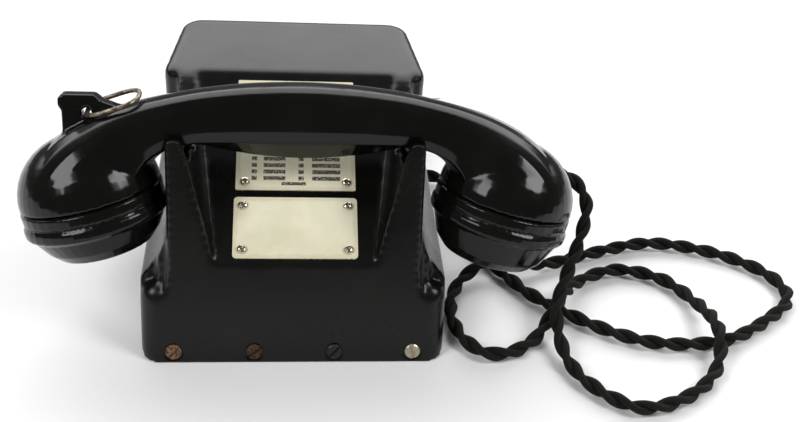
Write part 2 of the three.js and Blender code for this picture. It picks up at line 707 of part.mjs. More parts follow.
function magnetoFrame() {
  const halfY = ARMATURE_R + 3 - 0.6;
  const low = PLATE_T + GAP;
  const span = MAGNETO_X1 - MAGNETO_X0;
  const poles = new THREE.BoxGeometry(span - 2 * FRAME_T, 2 * halfY, ARMATURE_Z + 8 - low);
  poles.translate((MAGNETO_X0 + MAGNETO_X1) / 2, 0, (ARMATURE_Z + 8 + low) / 2);
  let frame = solid(poles);
  for (const x of [MAGNETO_X0 + FRAME_T / 2, MAGNETO_X1 - FRAME_T / 2]) {
    const end = new THREE.BoxGeometry(FRAME_T, 2 * halfY, SHAFT_Z + 9 - low)
        .translate(x, 0, (SHAFT_Z + 9 + low) / 2);
    frame = frame.add(solid(end));
  }
  const foot = new THREE.BoxGeometry(span, 2 * halfY + 16, 3)
      .translate((MAGNETO_X0 + MAGNETO_X1) / 2, 0, low + 1.5);
  frame = frame.add(solid(foot));
  const bore = alongX(disc(ARMATURE_R + 0.5, MAGNETO_X0 + FRAME_T, MAGNETO_X1 - FRAME_T, 24))
      .translate(0, 0, ARMATURE_Z);
  const journal = alongX(disc(3.3, MAGNETO_X0 - 1, MAGNETO_X1 + 1, 16)).translate(0, 0, ARMATURE_Z);
  const shaftBore = alongX(disc(SHAFT_R + GAP, MAGNETO_X0 - 1, MAGNETO_X1 + 1, 20)).translate(0, 0, SHAFT_Z);
  const throat = new THREE.BoxGeometry(span - 2 * FRAME_T, 2 * ARMATURE_R - 8, 20);
  throat.translate((MAGNETO_X0 + MAGNETO_X1) / 2, 0, ARMATURE_Z + 12);
  return [bore, journal, shaftBore, throat].reduce((a, b) => a.subtract(solid(b)), frame);
}

function armature() {
  const x0 = MAGNETO_X0 + FRAME_T + 0.6;
  const x1 = MAGNETO_X1 - FRAME_T - 0.6;
  const core = solid(alongX(disc(ARMATURE_R, x0, x1, 24)));
  const waist = (side) => solid(new THREE.BoxGeometry(x1 - x0 - 8, 2 * ARMATURE_R, 8)
      .translate((x0 + x1) / 2, 0, side * 10));
  const shaft = solid(alongX(disc(3, MAGNETO_X0 - 2, GEAR_X + GEAR_T + 2, 16)));
  return core.subtract(waist(1)).subtract(waist(-1)).add(shaft);
}

function crankArm() {
  const [hub, eye] = [8, 6];
  const length = CRANK_LEN;
  const shape = new THREE.Shape();
  shape.absarc(0, 0, hub, Math.PI / 2, 1.5 * Math.PI, false);
  shape.lineTo(length, -eye);
  shape.absarc(length, 0, eye, -Math.PI / 2, Math.PI / 2, false);
  const arm = along(slab(shape, ARM_T, 8), V3(0, 1, 0), V3(0, 0, 1), V3(1, 0, 0)).translate(ARM_X, 0, 0);
  const boss = alongX(disc(hub, ARM_X - 2.5, ARM_X + 1, 24));
  const bore = alongX(disc(SHAFT_R - 0.8 + GAP, ARM_X - 9, ARM_X + ARM_T + 1, 16));
  const eyeHole = alongX(disc(2.2, ARM_X - 1, ARM_X + ARM_T + 1, 12)).translate(0, length, 0);
  return union(solid(arm), solid(boss)).subtract(solid(bore)).subtract(solid(eyeHole));
}

function crankKnob() {
  const x0 = ARM_X + ARM_T + 1.2;
  const profile = [
    [2.2, 0], [KNOB_R - 2.5, 0], [KNOB_R - 1, 1], [KNOB_R - 1.4, 5], [KNOB_R - 0.3, 12], [KNOB_R, 17],
    [KNOB_R - 1.2, KNOB_L - 2.5], [KNOB_R - 4, KNOB_L - 0.4], [4.2, KNOB_L], [4.2, KNOB_L - 2.5],
        [2.2, KNOB_L - 2.5], [2.2, 0],
  ];
  return solid(alongX(turned(profile, 24)).translate(x0, CRANK_LEN, 0));
}

function knobPin() {
  const x0 = ARM_X + ARM_T + 1.2;
  const profile = [
    [0, -ARM_T - 1.6], [1.8, -ARM_T - 1.6], [1.8, KNOB_L - 2.2], [3.8, KNOB_L - 2.2], [3.8, KNOB_L - 0.9],
        [3, KNOB_L - 0.5], [0, KNOB_L - 0.5],
  ];
  return solid(alongX(turned(profile, 16)).translate(x0, CRANK_LEN, 0));
}

function addMagneto(root) {
  const magneto = new THREE.Group();
  magneto.position.set(0, SHAFT_Y, 0);
  root.add(magneto);
  magneto.add(mesh("magneto_frame", magnetoFrame(), brass));
  const first = MAGNETO_X0 + FRAME_T + 0.8;
  for (let i = 0; i < MAGNET_COUNT; i += 1) {
    magneto.add(mesh(`magnet_${i + 1}`, solid(horseshoe()), magnetSteel, V3(first + i * MAGNET_W, 0, 0)));
  }
  magneto.add(mesh("armature", armature(), magnetSteel, V3(0, 0, ARMATURE_Z)));
  const pinion = gear(PINION_TEETH, GEAR_T, 3 + GAP);
  const geometry = along(geometryOf(pinion), V3(0, 1, 0), V3(0, 0, 1), V3(1, 0, 0));
  magneto.add(mesh("pinion", geometry, steel, V3(GEAR_X, 0, ARMATURE_Z)));

  const crank = new THREE.Group();
  crank.position.set(0, 0, SHAFT_Z);
  magneto.add(crank);
  const wheel = along(geometryOf(gear(GEAR_TEETH, GEAR_T, SHAFT_R + GAP)), V3(0, 1, 0), V3(0, 0, 1),
      V3(1, 0, 0));
  crank.add(mesh("drive_gear", wheel, brass, V3(GEAR_X, 0, 0)));
  const [start, step, end] = [MAGNETO_X0 - 3, ARM_X - 3.4, ARM_X + ARM_T];
  const seatR = SHAFT_R - 0.8;
  const shaft = turned([[0, start], [SHAFT_R, start], [SHAFT_R, step], [seatR, step], [seatR, end],
      [0, end]], 20);
  crank.add(mesh("crank_shaft", solid(alongX(shaft)), steel));
  const arm = new THREE.Group();
  arm.rotation.x = CRANK_REST;
  crank.add(arm);
  arm.add(mesh("crank_arm", crankArm(), nickel));
  arm.add(mesh("crank_knob", crankKnob(), bakelite));
  arm.add(mesh("crank_knob_pin", knobPin(), nickel));
  const cap = turned([[0, 0], [5, 0], [5, 1.5], [3.2, 3], [0, 3]], 18);
  crank.add(mesh("crank_cap_nut", solid(alongX(cap)), nickel, V3(ARM_X + ARM_T + GAP, 0, 0)));
  const bushIn = WAIST_W / 2 - WALL - 3;
  const bushOut = ARM_X - 4;
  const { r, flange, bore, flangeX } = BUSH;
  const bushLine = [
    [bore, bushIn],
    [r, bushIn],
    [r, flangeX],
    [flange, flangeX + 0.6],
    [flange, flangeX + 3],
    [r, bushOut],
    [bore, bushOut],
    [bore, bushIn],
  ];
  const bush = turned(bushLine, 24);
  crank.add(mesh("crank_bush", solid(alongX(bush)), brass));
}

// ---------------------------------------------------------------- ringer and speech parts
function gong() {
  const t = 1.4;
  return turned([[2.2, 0], [GONG_R * 0.55, -1.5], [GONG_R * 0.9, -6], [GONG_R, -11], [GONG_R - t, -11],
      [GONG_R * 0.9 - t, -6 - 0.4], [GONG_R * 0.55, -1.5 - t], [2.2, -t], [2.2, 0]], 28);
}

function addRinger(root) {
  const ringer = new THREE.Group();
  ringer.position.set(0, GONG_Y, 0);
  root.add(ringer);
  [-1, 1].forEach((side) => {
    const name = side < 0 ? "left" : "right";
    ringer.add(mesh(`gong_${name}`, solid(gong()), nickel, V3(side * GONG_X, 0, GONG_Z + 11)));
    const low = PLATE_T + GAP;
    const post = turned([[0, low], [5, low], [5, low + 2], [3, low + 3], [3, GONG_Z + 9],
        [1.8, GONG_Z + 9], [1.8, GONG_Z + 11.4], [3.6, GONG_Z + 11.4], [3.6, GONG_Z + 13],
        [0, GONG_Z + 13]], 16);
    ringer.add(mesh(`gong_post_${name}`, solid(post), steel, V3(side * GONG_X, 0, 0)));
    const coil = turned([[0, -11], [7.5, -11], [7.5, -9.5], [6.3, -9.5], [6.3, 9.5], [7.5, 9.5],
        [7.5, 11], [0, 11]], 18);
    ringer.add(mesh(`ringer_coil_${name}`, solid(coil.rotateX(Math.PI / 2)), copper, V3(side * 11, 41, 14)));
  });
  const yoke = new THREE.BoxGeometry(40, 3, 18).translate(0, 41 + 11 + GAP + 1.5, 12);
  const foot = new THREE.BoxGeometry(40, 8, 2).translate(0, 41 + 11 + GAP + 4, PLATE_T + GAP + 1);
  const lug = new THREE.BoxGeometry(8, 24 + 4, 3).translate(0, 41, 24.5);
  const neck = new THREE.BoxGeometry(8, 3, 10).translate(0, 41 + 11 + GAP + 1.5, 21);
  ringer.add(mesh("ringer_yoke", union(solid(yoke), solid(foot), solid(lug), solid(neck)), steel));
  const bar = new THREE.BoxGeometry(34, 3, 7).translate(0, 27, 14);
  const stem = new THREE.BoxGeometry(2, 28, 2).translate(0, 12.5, 14);
  const ball = solid(new THREE.SphereGeometry(2, 10, 8).translate(0, -1, 14));
  const clapper = union(solid(bar), solid(stem), ball)
      .subtract(solid(disc(1.0, 9, 20, 10).translate(0, 27, 0)));
  ringer.add(mesh("ringer_clapper", clapper, steel));
  const pivotPin = turned([[0, 8.5], [0.7, 8.5], [0.7, 22.6], [0, 22.6]], 10);
  ringer.add(mesh("clapper_pin", solid(pivotPin), steel, V3(0, 27, 0)));
}

function addSpeechParts(root) {
  const bobbin = turned([[0, -24], [9, -24], [9, -22], [7, -22], [7, 22], [9, 22], [9, 24], [0, 24]], 20);
  root.add(mesh("induction_coil", solid(bobbin.rotateX(Math.PI / 2)), paper, V3(-40, 12, PLATE_T + GAP + 9)));
  const can = new THREE.BoxGeometry(16, 30, 34);
  root.add(mesh("capacitor", can, zincSteel, V3(50 - 12, 6, PLATE_T + GAP + 17)));
  const block = new THREE.BoxGeometry(40, 12, 9);
  root.add(mesh("terminal_block", block, bakelite, V3(-44, 60, PLATE_T + GAP + 4.5)));
  [-1, 0, 1].forEach((i) => {
    const screw = screwBody({ headR: 2.8, headH: 1.6, shankR: 1.2, len: 0.2 }, 0.8, 0.8, 12);
    root.add(mesh(`terminal_screw_${i + 2}`, screw, brass, V3(-44 + i * 12, 60, PLATE_T + GAP + 9 + 0.5)));
  });
}

// ---------------------------------------------------------------- hook switch
function addHook(root) {
  [-1, 1].forEach((side) => {
    const pin = turned([[0, PIN_FOOT_Z + BRIDGE_T + GAP], [PIN_R, PIN_FOOT_Z + BRIDGE_T + GAP],
        [PIN_R, PIN_TOP_Z - 1.2], [PIN_R - 1, PIN_TOP_Z], [0, PIN_TOP_Z]], 16);
    root.add(mesh(`hook_pin_${side < 0 ? "left" : "right"}`, solid(pin), nickel, V3(side * PIN_X, PIN_Y, 0)));
  });
  const bridge = new THREE.BoxGeometry(2 * (PIN_X + 0.2), 7, BRIDGE_T)
      .translate(0, PIN_Y, PIN_FOOT_Z + BRIDGE_T / 2);
  const nose = new THREE.BoxGeometry(8, 12, BRIDGE_T).translate(0, PIN_Y + 6, PIN_FOOT_Z + BRIDGE_T / 2);
  root.add(mesh("hook_bridge", union(solid(bridge), solid(nose)), steel));
}

// ---------------------------------------------------------------- handset
// In the handset's own frame X runs along it, Z points away from the caps, and z 0 is the line that rests
// on the rails.
// One row per section of one half: the outer edge, the front crease and the keel of the underside as [x, z]
// in the middle plane, half the depth of the handle and half the depth at the crease.
const HANDLE = [
  [[0, 27.2], [0, 3.6], [0, -5.4], 14, 12.8],
  [[20, 26.5], [20, 3.5], [20, -4.2], 14, 12.8],
  [[33, 25.3], [33, 3.2], [33, -2.2], 13.8, 12.6],
  [[46, 23.5], [46, 2.4], [46, 0.2], 13.6, 12.4],
  [[59, 20.8], [56, 0.2], [55.5, -1.0], 13.8, 12.5],
  [[72, 17.6], [64, -3.4], [62.6, -5.0], 15.2, 13.6],
  [[86, 13.0], [69.4, -8.0], [66.2, -10.0], 18.6, 16.8],
  [[99, 6.6], [73.0, -13.8], [67.0, -16.0], 23.0, 20.6],
  [[108, 0.0], [75.0, -18.0], [68.0, -20.0], 26.0, 23.6],
  [[114, -7.0], [76.4, -20.6], [70.0, -21.0], 28.0, 25.4],
];
const SECTIONS_BETWEEN = 3;

// A smooth curve through four neighbouring numbers, from the second to the third.
function eased(a, b, c, d, t) {
  const bend = 2 * a - 5 * b + 4 * c - d;
  return b + 0.5 * t * (c - a + t * (bend + t * (3 * (b - c) + d - a)));
}

function easedRow(rows, t) {
  const [a, b, c, d] = rows.map((row) => row.flat());
  const [x0, z0, x1, z1, x2, z2, deep, creaseDeep] = b.map((_, k) => eased(a[k], b[k], c[k], d[k], t));
  return [[x0, z0], [x1, z1], [x2, z2], deep, creaseDeep];
}

// The rows of the table with more in between, from the middle outwards.
function handleRows() {
  const mirror = ([top, crease, keel, ...deep]) => [[-top[0], top[1]], [-crease[0], crease[1]],
      [-keel[0], keel[1]], ...deep];
  const rows = [mirror(HANDLE[1]), ...HANDLE, HANDLE.at(-1)];
  const fine = [];
  for (let i = 1; i + 2 < rows.length; i += 1) {
    for (let k = 0; k < SECTIONS_BETWEEN; k += 1) fine.push(easedRow(rows.slice(i - 1, i + 3),
        k / SECTIONS_BETWEEN));
  }
  return [...fine, HANDLE.at(-1)];
}

// A section has a rounded outer half, a flat front down to the crease and a faceted underside to the keel.
function handleRing([top, crease, keel, deep, creaseDeep], side) {
  const up = new THREE.Vector2(top[0] - crease[0], top[1] - crease[1]);
  const at = (share) => [crease[0] + up.x * share, crease[1] + up.y * share];
  const rows = [[1, 0.16], [0.975, 0.45], [0.9, 0.7], [0.79, 0.87], [0.64, 0.97], [0.45, 1], [0.22, 0.985]];
  const ring = [];
  for (const depth of [-1, 1]) {
    for (const [share, width] of rows) {
      const [x, z] = at(share);
      ring.push(V3(side * x, depth * deep * width, z));
    }
    ring.push(V3(side * crease[0], depth * creaseDeep, crease[1]));
    ring.push(V3(side * keel[0], depth * creaseDeep * 0.42, keel[1]));
  }
  return ring;
}

function handle() {
  const rows = handleRows();
  const parts = [];
  for (const side of [-1, 1]) {
    for (let i = 0; i + 1 < rows.length; i += 1) {
      const points = [...handleRing(rows[i], side), ...handleRing(rows[i + 1], side)];
      parts.push(solid(new ConvexGeometry(points)));
    }
  }
  return wasm.Manifold.union(parts);
}

// A frame on a cap's axis: z 0 at the joint of bowl and cap, +Z into the bowl.
function capFrame(side) {
  const frame = new THREE.Group();
  frame.position.set(side * CAP_X, 0, -CAP_DROP);
  frame.rotation.y = side * CAP_TILT;
  return frame;
}
const inCap = (part, side) => {
  const frame = capFrame(side);
  frame.updateMatrix();
  return part.transform(frame.matrix.elements);
};

function bowl() {
  const points = [[0, 0.8]];
  const steps = 10;
  for (let i = 0; i <= steps; i += 1) {
    const angle = (Math.PI / 2) * (i / steps);
    points.push([BOWL_R * Math.cos(angle) ** 0.93, 0.8 + (BOWL_H - 0.8) * Math.sin(angle)]);
  }
  return solid(turned(points, 48));
}

function tabPlate() {
  const top = 21;
  const line = [
    [-103.5, -4],
    [-103.5, 14],
    [-105, 16],
    [-105, 19],
    [-103.4, top],
    [-89.6, top],
    [-86, 18],
    [-79, 15.6],
    [-70, 14.4],
    [-66, 6],
    [-80, -6],
  ];
  const plate = along(slab(outline(line), 2 * TAB.half), V3(1, 0, 0), V3(0, 0, 1), V3(0, -1, 0));
  plate.translate(0, TAB.half, 0);
  const hole = disc(TAB.holeR, -20, 20, 16).rotateX(Math.PI / 2).translate(TAB.x, 0, TAB.z);
  return solid(plate).subtract(solid(hole));
}

function handsetBody() {
  let body = handle();
  for (const side of [-1, 1]) body = body.add(inCap(bowl(), side));
  body = body.add(tabPlate());
  for (const side of [-1, 1]) {
    const hollow = turned([[0, -30], [2 * BOWL_R, -30], [2 * BOWL_R, 0.8], [BOWL_BORE_R, 0.8],
        [BOWL_BORE_R, 12], [20, 21], [0, 21]], 32);
    body = body.subtract(inCap(solid(hollow), side));
  }
  const exit = disc(3.2, -14, 12, 14);
  return body.subtract(placeSolid(solid(exit), V3(0, 0, 0), glandFrame()));
}

// The cord leaves the dome of the right bowl to the rear and a little outwards.
function glandFrame() {
  const frame = new THREE.Group();
  const direction = V3(0.55, 0.83, 0.05).normalize();
  frame.quaternion.setFromUnitVectors(V3(0, 0, 1), direction);
  const onDome = V3(CAP_X, 0, -CAP_DROP + 0.8).addScaledVector(direction, BOWL_R - 0.8);
  frame.position.copy(onDome);
  return frame;
}

// z 0 is the joint with the bowl; a collar, a groove, a rounded rim and a taper down to the face.
function cap(height) {
  const bore = CAPSULE_R + GAP;
  const profile = [
    [0, -height + 1.4],
    [14, -height + 1],
    [18, -height],
    [21, -height + 0.4],
    [25.5, -height + 5],
    [CAP_R - 2.2, -12.6],
    [CAP_R - 0.4, -11.4],
    [CAP_R, -10.4],
    [CAP_R, -7.6],
    [CAP_R - 0.9, -6.2],
    [BOWL_R - 0.9, -5.8],
    [BOWL_R - 0.9, -5.3],
    [BOWL_R + 0.2, -4.9],
    [BOWL_R + 0.2, -0.5],
    [BOWL_R - 1, -0.2],
    [BOWL_R - 1, 0.4],
    [BOWL_BORE_R - GAP, 0.4],
    [BOWL_BORE_R - GAP, 6],
    [bore, 6],
    [bore, -10],
    [18, -height + 5],
    [0, -height + 5],
  ];
  let made = solid(turned(profile, 40));
  const holes = [[0, 0]];
  for (let i = 0; i < 6; i += 1) holes.push([6.5 * Math.cos((i * Math.PI) / 3),
      6.5 * Math.sin((i * Math.PI) / 3)]);
  for (const [x, y] of holes) {
    made = made.subtract(solid(disc(1.3, -height - 1, -height + 6, 8).translate(x, y, 0)));
  }
  return made;
}

function capsule() {
  return turned([[0, -8.5], [CAPSULE_R - 2, -8.5], [CAPSULE_R, -6.5], [CAPSULE_R, -6.5 + CAPSULE_H - 3],
      [CAPSULE_R - 7, CAPSULE_H - 6.5], [0, CAPSULE_H - 6.5]], 28);
}

// A round wire round a closed flat line.
function wireLoop(points, radius, sides = 8) {
  const positions = [];
  points.forEach((p, i) => {
    const across = V3(0, 0, 1).cross(tangentAt(points, i)).normalize();
    for (let k = 0; k < sides; k += 1) {
      const angle = (2 * Math.PI * k) / sides;
      const at = p.clone().addScaledVector(across, radius * Math.cos(angle));
      positions.push(at.x, at.y, at.z + radius * Math.sin(angle));
    }
  });
  const index = [];
  const n = points.length;
  for (let i = 0; i < n; i += 1) {
    for (let k = 0; k < sides; k += 1) {
      const [a, b] = [i * sides + k, i * sides + ((k + 1) % sides)];
      const [c, d] = [((i + 1) % n) * sides + k, ((i + 1) % n) * sides + ((k + 1) % sides)];
      index.push(a, b, c, b, d, c);
    }
  }
  const geometry = new THREE.BufferGeometry();
  geometry.setAttribute("position", new THREE.Float32BufferAttribute(positions, 3));
  geometry.setIndex(index);
  geometry.computeVertexNormals();
  return geometry;
}

function hangingRing() {
  // a round-ended loop through the tab, lying over towards the handle
  const r = RING_HALF - 1.5;
  const points = [];
  for (const [x, y, from] of [[r, -RING_HALF + r, 2], [RING_LEN - r, -RING_HALF + r, 3],
      [RING_LEN - r, RING_HALF - r, 4], [r, RING_HALF - r, 5]]) {
    for (let i = 0; i <= 4; i += 1) {
      const angle = (Math.PI / 2) * (from + i / 4);
      points.push(V3(x + r * Math.cos(angle), y + r * Math.sin(angle), 0));
    }
  }
  return wireLoop(points, RING_WIRE_R).rotateX(RING_CANT);
}

function tangentAt(points, i) {
  const n = points.length;
  return points[(i + 1) % n].clone().sub(points[(i + n - 1) % n]).normalize();
}

const [handsetY, handsetZ] = frontPoint(HANDSET_UP, HANDSET_BACK);

function addHandset(root) {
  const handset = new THREE.Group();
  handset.position.set(HANDSET_X, handsetY, handsetZ);
  handset.rotation.x = -HANDSET_LEAN;
  root.add(handset);
  handset.add(mesh("handset_body", handsetBody(), bakelite));
  [-1, 1].forEach((side) => {
    const frame = capFrame(side);
    handset.add(frame);
    const [capName, capsuleName] = side < 0 ? ["earpiece_cap", "receiver_capsule"] : ["mouthpiece_cap",
        "transmitter_capsule"];
    frame.add(mesh(capName, cap(side < 0 ? EAR_CAP_H : MOUTH_CAP_H), bakelite));
    frame.add(mesh(capsuleName, solid(capsule()), zincSteel));
  });
  const gland = glandFrame();
  handset.add(gland);
  const bush = turned([[0.0, -1.6], [2.9, -1.6], [2.9, 0.9], [4.4, 1.1], [4.4, 2.2], [3.4, 5], [0, 5]], 14);
  gland.add(mesh("handset_cord_bush", solid(bush), rubber));
  const ringFrame = new THREE.Group();
  ringFrame.position.set(TAB.x, 0, TAB.z);
  ringFrame.rotation.y = -RING_REST;
  handset.add(ringFrame);
  ringFrame.add(mesh("hanging_ring", hangingRing(), steel));
}

// ---------------------------------------------------------------- cord
function addCord(root) {
  const route = new THREE.CatmullRomCurve3(CORD_ROUTE.map((p) => V3(...p)), false, "centripetal");
  const section = new THREE.Shape();
  for (let i = 0; i < CORD_SIDES; i += 1) {
    const angle = (2 * Math.PI * i) / CORD_SIDES;
    section[i ? "lineTo" : "moveTo"]((CORD_D / 2) * Math.cos(angle), (CORD_D / 2) * Math.sin(angle));
  }
  const tube = new THREE.ExtrudeGeometry(section, { steps: CORD_STEPS, extrudePath: route });
  root.add(mesh("handset_cord", tube, fabric));
  const x0 = BODY_W / 2;
  const gland = turned([[0, x0 - 2.5], [GLAND.r, x0 - 2.5], [GLAND.r, x0 + 0.3], [GLAND.flange, x0 + 0.3],
      [GLAND.flange - 1, x0 + 2.6], [0, x0 + 2.6]], 16);
  root.add(mesh("cord_gland", solid(alongX(gland)), rubber, V3(0, CORD_EXIT.y, CORD_EXIT.z)));
}

const phone = new THREE.Group();
addCover(phone);
addLabels(phone);
addMagneto(phone);
addRinger(phone);
addSpeechParts(phone);
addHook(phone);
addHandset(phone);
addCord(phone);

export default phone;
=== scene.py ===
# %% [markdown]
# # A wall telephone with a hand crank
# The set lies on its wall plate: a moulded cover with two horns, a handset across them, two labels, and a
# twisted cord that lies on the table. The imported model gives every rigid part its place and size. This file
# gives those parts their finishes, adds the cord, and sets up the table, the light and the camera.

# %% The frame
from math import cos, pi, radians, sin

import bmesh
import bpy
from mathutils import Matrix, Vector


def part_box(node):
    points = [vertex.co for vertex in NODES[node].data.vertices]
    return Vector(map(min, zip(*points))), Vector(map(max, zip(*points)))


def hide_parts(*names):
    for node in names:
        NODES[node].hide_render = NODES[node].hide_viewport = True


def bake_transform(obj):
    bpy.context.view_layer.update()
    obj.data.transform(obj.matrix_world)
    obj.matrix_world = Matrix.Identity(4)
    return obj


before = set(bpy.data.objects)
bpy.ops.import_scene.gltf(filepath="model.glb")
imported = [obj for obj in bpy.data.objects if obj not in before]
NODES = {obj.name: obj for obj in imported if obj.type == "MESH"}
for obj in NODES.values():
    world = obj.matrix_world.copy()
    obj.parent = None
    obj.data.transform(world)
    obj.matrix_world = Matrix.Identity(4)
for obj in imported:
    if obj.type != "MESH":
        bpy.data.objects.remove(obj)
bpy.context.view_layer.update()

MM = 0.001
scene = bpy.context.scene
scene.view_settings.view_transform = "Standard"
print("parts", len(NODES))

# %% [markdown]
# ## Camera
# The camera stands in front of the table and looks down at the set, a little turned and a little rolled.
# Three turns in the right order give its stand: first the tilt, then the turn about the upright axis,
# and last the roll about its own line of sight.

# %% Camera
CAMERA_AT = Vector((-5.56, -445.07, 359.48)) * MM
LOOK_DOWN = 0.642
LOOK_RIGHT = 0.132
ROLL = 0.089
SENSOR_MM = 36.0
LENS_MM = 49.52


def aim_camera():
    data = bpy.data.cameras.new("camera")
    data.sensor_width = SENSOR_MM
    data.lens = LENS_MM
    camera = bpy.data.objects.new("camera", data)
    turn = Matrix.Rotation(-LOOK_RIGHT, 4, "Z") @ Matrix.Rotation(pi / 2 - LOOK_DOWN, 4, "X")
    camera.matrix_world = Matrix.Translation(CAMERA_AT) @ turn @ Matrix.Rotation(ROLL, 4, "Z")
    scene.collection.objects.link(camera)
    scene.camera = camera


aim_camera()

# %% [markdown]
# ## Material helpers
# Every finish is a small graph of nodes. One function adds a node, sets its fields and joins its inputs, so a
# material reads as a list of steps. Colours are written as hex values and turned to linear light once.


# %% Material helpers
def linear(hex_colour):
    parts = [int(hex_colour[i:i + 2], 16) / 255 for i in (1, 3, 5)]
    return tuple(p / 12.92 if p <= 0.04045 else ((p + 0.055) / 1.055) ** 2.4 for p in parts) + (1.0,)


def add(tree, kind, inputs=None, **fields):
    made = tree.nodes.new(kind)
    for name, value in fields.items():
        setattr(made, name, value)
    for name, value in (inputs or {}).items():
        if isinstance(value, bpy.types.NodeSocket):
            tree.links.new(value, made.inputs[name])
        else:
            made.inputs[name].default_value = value
    return made


def new_material(name, **shader):
    material = bpy.data.materials.new(name)
    material.use_nodes = True
    tree = material.node_tree
    tree.nodes.clear()
    surface = add(tree, "ShaderNodeBsdfPrincipled", shader)
    add(tree, "ShaderNodeOutputMaterial", {"Surface": surface.outputs["BSDF"]})
    coords = add(tree, "ShaderNodeTexCoord").outputs["Object"]
    return material, tree, surface, coords


def noise(tree, coords, size_mm, detail=3.0, rough=0.55):
    scale = 1 / (size_mm * MM)
    inputs = {"Vector": coords, "Scale": scale, "Detail": detail, "Roughness": rough}
    return add(tree, "ShaderNodeTexNoise", inputs).outputs["Fac"]


def ramp(tree, value, *stops):
    made = add(tree, "ShaderNodeValToRGB", {"Fac": value})
    elements = made.color_ramp.elements
    for i, (at, colour) in enumerate(stops):
        element = elements[i] if i < 2 else elements.new(at)
        element.position = at
        element.color = linear(colour) if isinstance(colour, str) else (colour, colour, colour, 1)
    return made.outputs["Color"]


def calc(tree, operation, a, b=0.0, c=0.0):
    return add(tree, "ShaderNodeMath", {0: a, 1: b, 2: c}, operation=operation).outputs[0]


# The colour sockets of a Mix node share their names with its number sockets, so they are joined by place.
def blend_colours(tree, share, a, b):
    made = tree.nodes.new("ShaderNodeMix")
    made.data_type = "RGBA"
    for socket, value in zip((made.inputs[0], made.inputs[6], made.inputs[7]), (share, a, b)):
        if isinstance(value, bpy.types.NodeSocket):
            tree.links.new(value, socket)
        else:
            socket.default_value = linear(value) if isinstance(value, str) else value
    return made.outputs[2]


def bump(tree, surface, height, depth_mm, strength=1.0):
    made = add(tree, "ShaderNodeBump", {"Height": height, "Distance": depth_mm * MM, "Strength": strength})
    tree.links.new(made.outputs["Normal"], surface.inputs["Normal"])


# %% [markdown]
# ## Bakelite
# The cover, the handset and the caps are compression-moulded phenolic resin: black, hard and a little brown in
# thin light. The cover has gone satin with age and carries faint wipe marks, while the handset has been
# polished by hands. Both share one recipe with different roughness. Fresh resin has an IOR near 1.6. Old resin
# has a chalky skin that mirrors less, so the IOR is matched down until the reflections are as dim as on the set.


# %% Bakelite
AGED_RESIN_IOR = 1.34
GRIT_MM = 1.1
PEEL_MM = 5.0


def bakelite(name, colour, worn_colour, shine, dull, smear_mm, peel):
    material, tree, surface, coords = new_material(name, IOR=AGED_RESIN_IOR)
    smear = noise(tree, coords, smear_mm, 4.0, 0.62)
    grit = noise(tree, coords, GRIT_MM, 2.0)
    both = calc(tree, "MULTIPLY_ADD", grit, 0.25, smear)
    tree.links.new(ramp(tree, both, (0.45, shine), (0.95, dull)), surface.inputs["Roughness"])
    tree.links.new(ramp(tree, smear, (0.35, colour), (0.8, worn_colour)), surface.inputs["Base Color"])
    bump(tree, surface, noise(tree, coords, PEEL_MM, 2.0), peel)
    return material


# Satin resin: broad soft reflections, with wipe marks about 38 mm across.
cover_finish = bakelite("bakelite_cover", "#0b0b0a", "#121210", 0.2, 0.36, 38.0, 0.012)
# Hand-polished resin: sharper reflections of the windows.
handset_finish = bakelite("bakelite_handset", "#090908", "#10100e", 0.09, 0.24, 24.0, 0.008)

# %% [markdown]
# ## Metals
# Steel and nickel parts are old. Their colour and gloss wander over a few millimetres, and rust sits in
# patches.
# One function gives a metal with two colours and two levels of gloss.


# %% Metals
def aged_metal(name, clean, stained, patch_mm, gloss, matt, metallic=1.0, share=(0.42, 0.62)):
    material, tree, surface, coords = new_material(name, Metallic=metallic)
    patches = noise(tree, coords, patch_mm, 4.0, 0.6)
    tree.links.new(ramp(tree, patches, (share[0], clean), (share[1], stained)), surface.inputs["Base Color"])
    tree.links.new(ramp(tree, patches, (share[0], gloss), (share[1], matt)), surface.inputs["Roughness"])
    bump(tree, surface, noise(tree, coords, 0.5, 3.0), 0.03)
    return material


# Bare sheet steel and turned nickel plate: the plate is brighter, with small yellowed spots.
steel_finish = aged_metal("plain_steel", "#a8a69e", "#837f74", 6.0, 0.3, 0.48)
nickel_finish = aged_metal("nickel_plate", "#c9c2ae", "#8d8068", 1.6, 0.2, 0.42, share=(0.5, 0.68))
# Turned brass, and the dark ground steel of the magnets.
brass_finish = aged_metal("plain_brass", "#b5934f", "#8b6b38", 5.0, 0.28, 0.5)
magnet_finish = aged_metal("magnet_steel", "#45474c", "#33343a", 9.0, 0.42, 0.6)
# Four steel screws that aged apart: rusty, brown, blacked, and one replaced in zinc plate.
rusty_screw = aged_metal("rusty_screw", "#94755a", "#5a3e2b", 1.3, 0.4, 0.75, 0.7, (0.4, 0.6))
brown_screw = aged_metal("brown_screw", "#5d4632", "#2b2019", 1.2, 0.5, 0.8, 0.6, (0.4, 0.6))
black_screw = aged_metal("blacked_screw", "#1d1c1a", "#12110f", 1.2, 0.4, 0.6, 0.2, (0.4, 0.6))
zinc_screw = aged_metal("zinc_screw", "#b8ae9a", "#91836c", 1.1, 0.32, 0.55, 0.75, (0.5, 0.72))
# Drawn wire: dull steel with rust on the ring, glossy varnish over copper on the coils.
rusty_wire = aged_metal("rusty_wire", "#8d8678", "#5b4a38", 2.2, 0.38, 0.7, 0.85, (0.42, 0.6))
copper_finish = aged_metal("varnished_wire", "#8a4b2a", "#6b341b", 2.0, 0.25, 0.4, 0.5)


